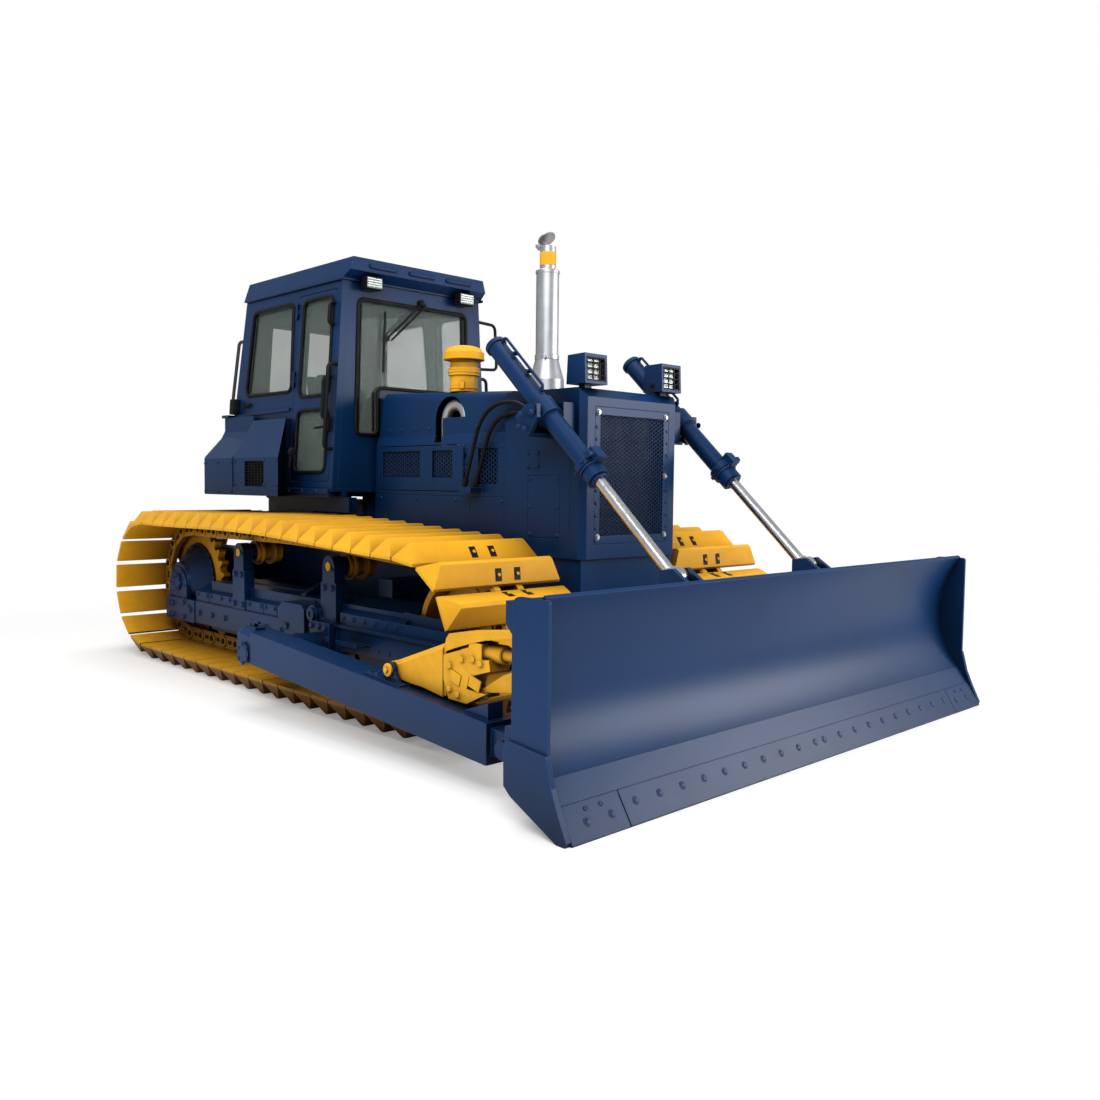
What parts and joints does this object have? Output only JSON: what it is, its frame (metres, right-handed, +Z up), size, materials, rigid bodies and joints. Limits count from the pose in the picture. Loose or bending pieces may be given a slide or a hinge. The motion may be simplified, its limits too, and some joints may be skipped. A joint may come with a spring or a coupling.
{
  "type": "crawler bulldozer",
  "caption": "Crawler dozer with straight blade, outside push arms, lift cylinders, swamp tracks, enclosed cab with opening doors and hinged engine doors.",
  "frame": {"origin": "on the ground under the middle of the machine's overall box", "axes": "+X forward along the machine, +Y to its left, +Z up"},
  "size_m": [6, 3.97, 3.115],
  "materials": {
    "black_trim": "black",
    "blue_paint": "semi-gloss navy blue enamel",
    "cab_glass": "grey-green tinted safety glass",
    "cast_iron": "dark painted castings",
    "edge_steel": "blue enamel over cutting steel",
    "exhaust_steel": "aluminised steel tube",
    "hose_rubber": "hydraulic hose cover",
    "lamp_paint": "navy blue enamel",
    "rod_chrome": "hard chrome",
    "yellow_paint": "semi-gloss warm yellow enamel"
  },
  "bodies": {
    "chassis": {"air_precleaner": "yellow_paint", "cab_floor": "black_trim", "cab_front": "blue_paint", "cab_glass": "cab_glass", "cab_rear": "blue_paint", "cab_roof": "blue_paint", "control_console": "black_trim", "cylinder_yokes": "blue_paint", "drawbar": "blue_paint", "engine": "cast_iron", "equalizer_bar": "blue_paint", "exhaust_stack": "exhaust_steel", "final_drives": "blue_paint", "fuel_tank": "blue_paint", "handrails": "black_trim", "hood_panels": "blue_paint", "hood_top": "blue_paint", "idlers": "yellow_paint", "intake_elbow": "exhaust_steel", "left_cab_side": "blue_paint", "left_track": "yellow_paint", "lift_hoses": "hose_rubber", "main_frame": "blue_paint", "operator_seat": "black_trim", "platform": "blue_paint", "radiator_core": "cast_iron", "radiator_grille": "black_trim", "radiator_guard": "blue_paint", "right_cab_side": "blue_paint", "right_track": "yellow_paint", "side_boxes": "blue_paint", "sprockets": "yellow_paint", "track_frames": "blue_paint", "track_rollers": "yellow_paint", "under_skirts": "blue_paint", "work_lamps": "lamp_paint"},
    "blade": {"blade_back_frame": "blue_paint", "blade_end_plates": "blue_paint", "blade_moldboard": "blue_paint", "braces": "yellow_paint", "cutting_edge": "edge_steel", "left_push_arm": "blue_paint", "right_push_arm": "blue_paint"},
    "left_cylinder": {"left_lift_barrel": "blue_paint"},
    "left_rod": {"left_lift_rod": "rod_chrome"},
    "left_door": {"left_door": "blue_paint", "left_door_glass": "cab_glass"},
    "left_engine_door": {"left_engine_door": "blue_paint"},
    "right_cylinder": {"right_lift_barrel": "blue_paint"},
    "right_rod": {"right_lift_rod": "rod_chrome"},
    "right_door": {"right_door": "blue_paint", "right_door_glass": "cab_glass"},
    "right_engine_door": {"right_engine_door": "blue_paint"},
    "rain_cap": {"rain_cap": "exhaust_steel"}
  },
  "joints": [
    {"name": "blade_lift", "type": "hinge", "parent": "chassis", "child": "blade", "pos_m": [-0.1, 0, 0.365], "axis": [0, -1, 0], "range_deg": [-8, 19]},
    {"name": "left_cylinder_swing", "type": "hinge", "parent": "chassis", "child": "left_cylinder", "pos_m": [1.459, 0.64, 1.885], "axis": [0, -1, 0], "range_deg": [-11.3, 26.15]},
    {"name": "left_rod_slide", "type": "slide", "parent": "left_cylinder", "child": "left_rod", "axis": [0.7325, 0, -0.6807], "range_m": [-0.7003, 0.2977]},
    {"name": "right_cylinder_swing", "type": "hinge", "parent": "chassis", "child": "right_cylinder", "pos_m": [1.459, -0.64, 1.885], "axis": [0, -1, 0], "range_deg": [-11.3, 26.15]},
    {"name": "right_rod_slide", "type": "slide", "parent": "right_cylinder", "child": "right_rod", "axis": [0.7325, 0, -0.6807], "range_m": [-0.7003, 0.2977]},
    {"name": "left_door_hinge", "type": "hinge", "parent": "chassis", "child": "left_door", "pos_m": [-1.327, 0.71041, 2.25069], "axis": [0, -0.0625, 0.998], "range_deg": [0, 45]},
    {"name": "right_door_hinge", "type": "hinge", "parent": "chassis", "child": "right_door", "pos_m": [-1.327, -0.71041, 2.25069], "axis": [0, -0.0625, -0.998], "range_deg": [0, 45]},
    {"name": "left_engine_door_hinge", "type": "hinge", "parent": "chassis", "child": "left_engine_door", "pos_m": [0.455, 0.451, 1.55], "axis": [0, 0, -1], "range_deg": [0, 110]},
    {"name": "right_engine_door_hinge", "type": "hinge", "parent": "chassis", "child": "right_engine_door", "pos_m": [0.455, -0.451, 1.55], "axis": [0, 0, 1], "range_deg": [0, 110]},
    {"name": "rain_cap_hinge", "type": "hinge", "parent": "chassis", "child": "rain_cap", "pos_m": [0.964, -0.225, 2.996], "axis": [0, -1, 0], "range_deg": [-35, 45]}
  ],
  "couplings": [
    {"joint": "left_cylinder_swing", "follows": "blade_lift", "ratio": 1.35},
    {"joint": "left_rod_slide", "follows": "blade_lift", "m_per_rad": -2.0966},
    {"joint": "right_cylinder_swing", "follows": "blade_lift", "ratio": 1.35},
    {"joint": "right_rod_slide", "follows": "blade_lift", "m_per_rad": -2.0966}
  ]
}
